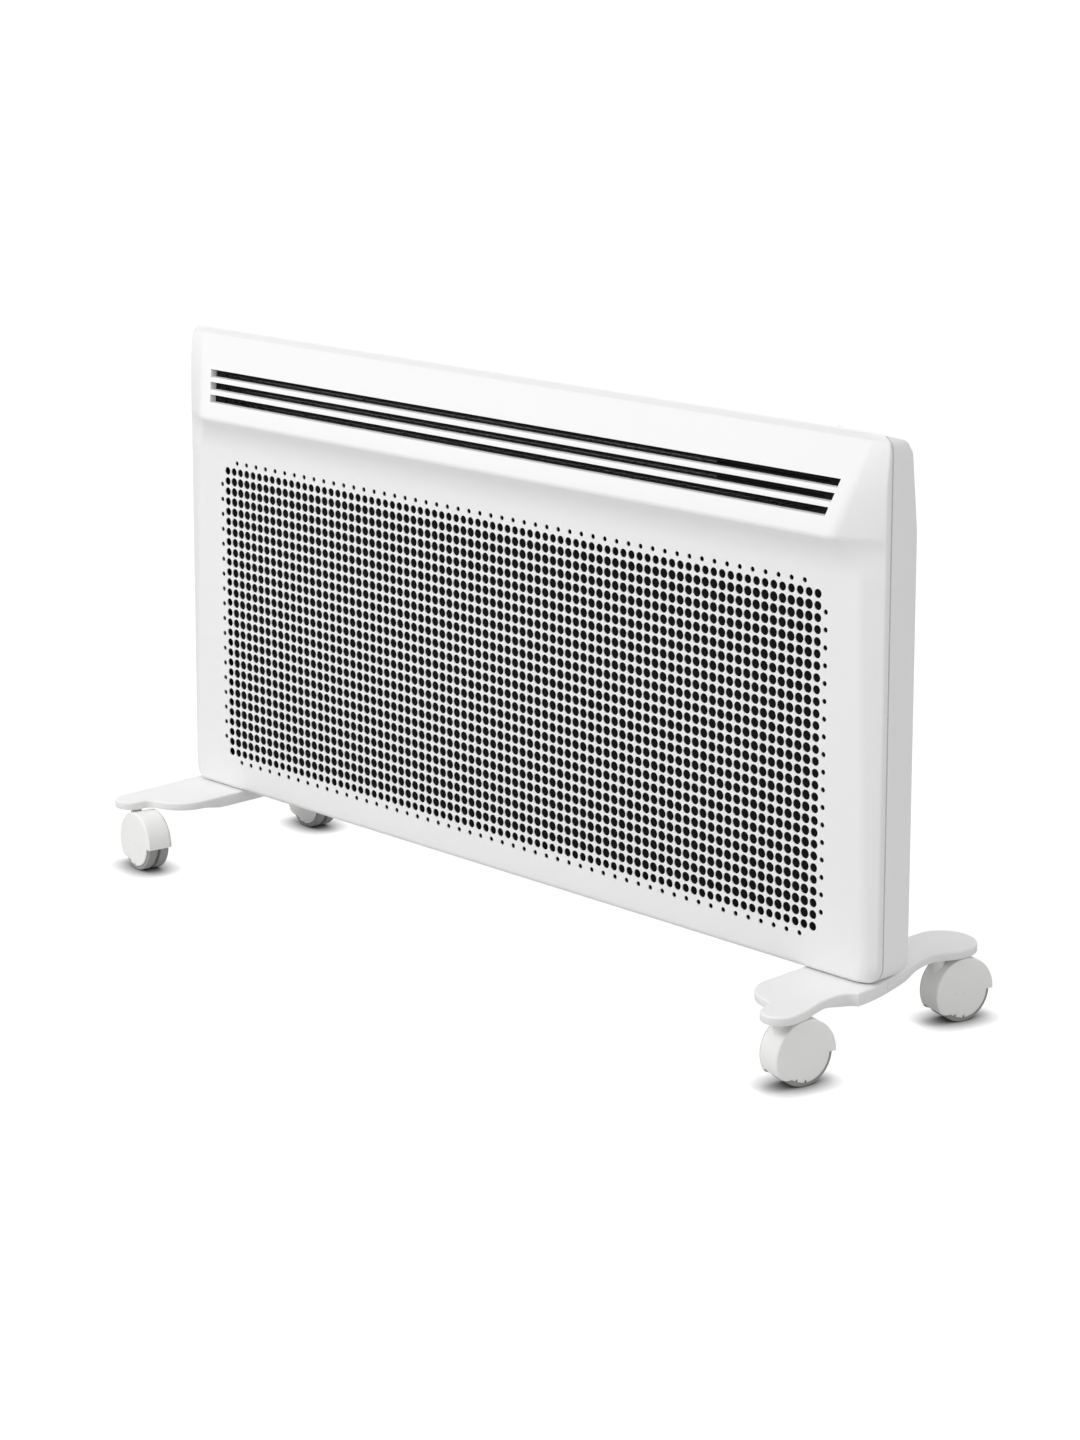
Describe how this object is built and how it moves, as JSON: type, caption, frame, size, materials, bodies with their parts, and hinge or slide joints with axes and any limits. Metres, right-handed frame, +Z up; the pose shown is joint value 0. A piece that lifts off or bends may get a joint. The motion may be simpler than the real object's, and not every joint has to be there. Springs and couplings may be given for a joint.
{
  "type": "panel convector heater",
  "caption": "Slim panel convector with a perforated front cover, louvred tilting header, rear housing with top controls, curved feet and hooded twin-wheel castors.",
  "frame": {"origin": "on the floor, in the middle of the overall box", "axes": "+X to the right as seen from the front, -Y the perforated front, +Z up"},
  "size_m": [0.8229, 0.2654, 0.4826],
  "materials": {
    "white_paint": "semi-gloss baked powder coat",
    "white_moulding": "satin white moulding",
    "castor_plastic": "glossy off-white moulding",
    "grey_wheel": "matt grey moulding",
    "black_enamel": "matt heat-resistant black",
    "aluminium": "mill finish",
    "steel": "zinc plated",
    "black_plastic": "satin black moulding",
    "ceramic": "cream phenolic or ceramic"
  },
  "bodies": {
    "heater": {"front_cover": "white_paint", "louvre_insert": "black_enamel", "rear_housing": "white_paint", "radiant_panel": "black_enamel", "heat_shield": "aluminium", "heating_element": "aluminium", "element_bracket_left": "steel", "element_bracket_right": "steel", "overheat_cutout": "ceramic", "terminal_block": "ceramic", "tilt_switch": "black_plastic", "cord_gland": "black_plastic", "control_panel": "white_moulding", "control_box": "black_plastic", "display_window": "black_plastic", "foot_left": "white_moulding", "foot_screw_left_front": "steel", "foot_screw_left_rear": "steel", "foot_right": "white_moulding", "foot_screw_right_front": "steel", "foot_screw_right_rear": "steel", "castor_front_right_stem": "steel", "castor_rear_right_stem": "steel", "castor_front_left_stem": "steel", "castor_rear_left_stem": "steel"},
    "castor_front_right": {"castor_front_right_hood": "castor_plastic", "castor_front_right_axle": "steel", "castor_front_right_cover_outer": "castor_plastic", "castor_front_right_cover_inner": "castor_plastic"},
    "wheel_front_right_outer": {"castor_front_right_wheel_outer": "grey_wheel"},
    "wheel_front_right_inner": {"castor_front_right_wheel_inner": "grey_wheel"},
    "castor_rear_right": {"castor_rear_right_hood": "castor_plastic", "castor_rear_right_axle": "steel", "castor_rear_right_cover_outer": "castor_plastic", "castor_rear_right_cover_inner": "castor_plastic"},
    "wheel_rear_right_outer": {"castor_rear_right_wheel_outer": "grey_wheel"},
    "wheel_rear_right_inner": {"castor_rear_right_wheel_inner": "grey_wheel"},
    "castor_front_left": {"castor_front_left_hood": "castor_plastic", "castor_front_left_axle": "steel", "castor_front_left_cover_outer": "castor_plastic", "castor_front_left_cover_inner": "castor_plastic"},
    "wheel_front_left_outer": {"castor_front_left_wheel_outer": "grey_wheel"},
    "wheel_front_left_inner": {"castor_front_left_wheel_inner": "grey_wheel"},
    "castor_rear_left": {"castor_rear_left_hood": "castor_plastic", "castor_rear_left_axle": "steel", "castor_rear_left_cover_outer": "castor_plastic", "castor_rear_left_cover_inner": "castor_plastic"},
    "wheel_rear_left_outer": {"castor_rear_left_wheel_outer": "grey_wheel"},
    "wheel_rear_left_inner": {"castor_rear_left_wheel_inner": "grey_wheel"},
    "button_1": {"button_1": "white_moulding"},
    "button_2": {"button_2": "white_moulding"},
    "button_3": {"button_3": "white_moulding"},
    "button_4": {"button_4": "white_moulding"},
    "rocker": {"power_rocker": "black_plastic"}
  },
  "joints": [
    {"name": "swivel_front_right", "type": "hinge", "parent": "heater", "child": "castor_front_right", "pos_m": [0.386, -0.1075, 0.02469], "axis": [0, 0, 1], "continuous": true},
    {"name": "roll_front_right_outer", "type": "hinge", "parent": "castor_front_right", "child": "wheel_front_right_outer", "pos_m": [0.38982, -0.09094, 0.02469], "axis": [0.9744, -0.225, 0], "continuous": true},
    {"name": "roll_front_right_inner", "type": "hinge", "parent": "castor_front_right", "child": "wheel_front_right_inner", "pos_m": [0.38982, -0.09094, 0.02469], "axis": [0.9744, -0.225, 0], "continuous": true},
    {"name": "swivel_rear_right", "type": "hinge", "parent": "heater", "child": "castor_rear_right", "pos_m": [0.381, 0.0865, 0.02469], "axis": [0, 0, 1], "continuous": true},
    {"name": "roll_rear_right_outer", "type": "hinge", "parent": "castor_rear_right", "child": "wheel_rear_right_outer", "pos_m": [0.3854, 0.10292, 0.02469], "axis": [0.9659, -0.2588, 0], "continuous": true},
    {"name": "roll_rear_right_inner", "type": "hinge", "parent": "castor_rear_right", "child": "wheel_rear_right_inner", "pos_m": [0.3854, 0.10292, 0.02469], "axis": [0.9659, -0.2588, 0], "continuous": true},
    {"name": "swivel_front_left", "type": "hinge", "parent": "heater", "child": "castor_front_left", "pos_m": [-0.386, -0.1075, 0.02469], "axis": [0, 0, 1], "continuous": true},
    {"name": "roll_front_left_outer", "type": "hinge", "parent": "castor_front_left", "child": "wheel_front_left_outer", "pos_m": [-0.36921, -0.11016, 0.02469], "axis": [-0.1564, -0.9877, 0], "continuous": true},
    {"name": "roll_front_left_inner", "type": "hinge", "parent": "castor_front_left", "child": "wheel_front_left_inner", "pos_m": [-0.36921, -0.11016, 0.02469], "axis": [-0.1564, -0.9877, 0], "continuous": true},
    {"name": "swivel_rear_left", "type": "hinge", "parent": "heater", "child": "castor_rear_left", "pos_m": [-0.381, 0.0865, 0.02469], "axis": [0, 0, 1], "continuous": true},
    {"name": "roll_rear_left_outer", "type": "hinge", "parent": "castor_rear_left", "child": "wheel_rear_left_outer", "pos_m": [-0.36413, 0.08443, 0.02469], "axis": [-0.1219, -0.9925, 0], "continuous": true},
    {"name": "roll_rear_left_inner", "type": "hinge", "parent": "castor_rear_left", "child": "wheel_rear_left_inner", "pos_m": [-0.36413, 0.08443, 0.02469], "axis": [-0.1219, -0.9925, 0], "continuous": true},
    {"name": "press_button_1", "type": "slide", "parent": "heater", "child": "button_1", "axis": [0, -0.2419, -0.9703], "range_m": [0, 0.001], "stiffness_N_per_m": 600, "springref_m": -0.0005},
    {"name": "press_button_2", "type": "slide", "parent": "heater", "child": "button_2", "axis": [0, -0.2419, -0.9703], "range_m": [0, 0.001], "stiffness_N_per_m": 600, "springref_m": -0.0005},
    {"name": "press_button_3", "type": "slide", "parent": "heater", "child": "button_3", "axis": [0, -0.2419, -0.9703], "range_m": [0, 0.001], "stiffness_N_per_m": 600, "springref_m": -0.0005},
    {"name": "press_button_4", "type": "slide", "parent": "heater", "child": "button_4", "axis": [0, -0.2419, -0.9703], "range_m": [0, 0.001], "stiffness_N_per_m": 600, "springref_m": -0.0005},
    {"name": "power_rocker_tilt", "type": "hinge", "parent": "heater", "child": "rocker", "pos_m": [0.356, -0.007, 0.47843], "axis": [0, -0.9703, 0.2419], "range_deg": [0, 14]}
  ]
}
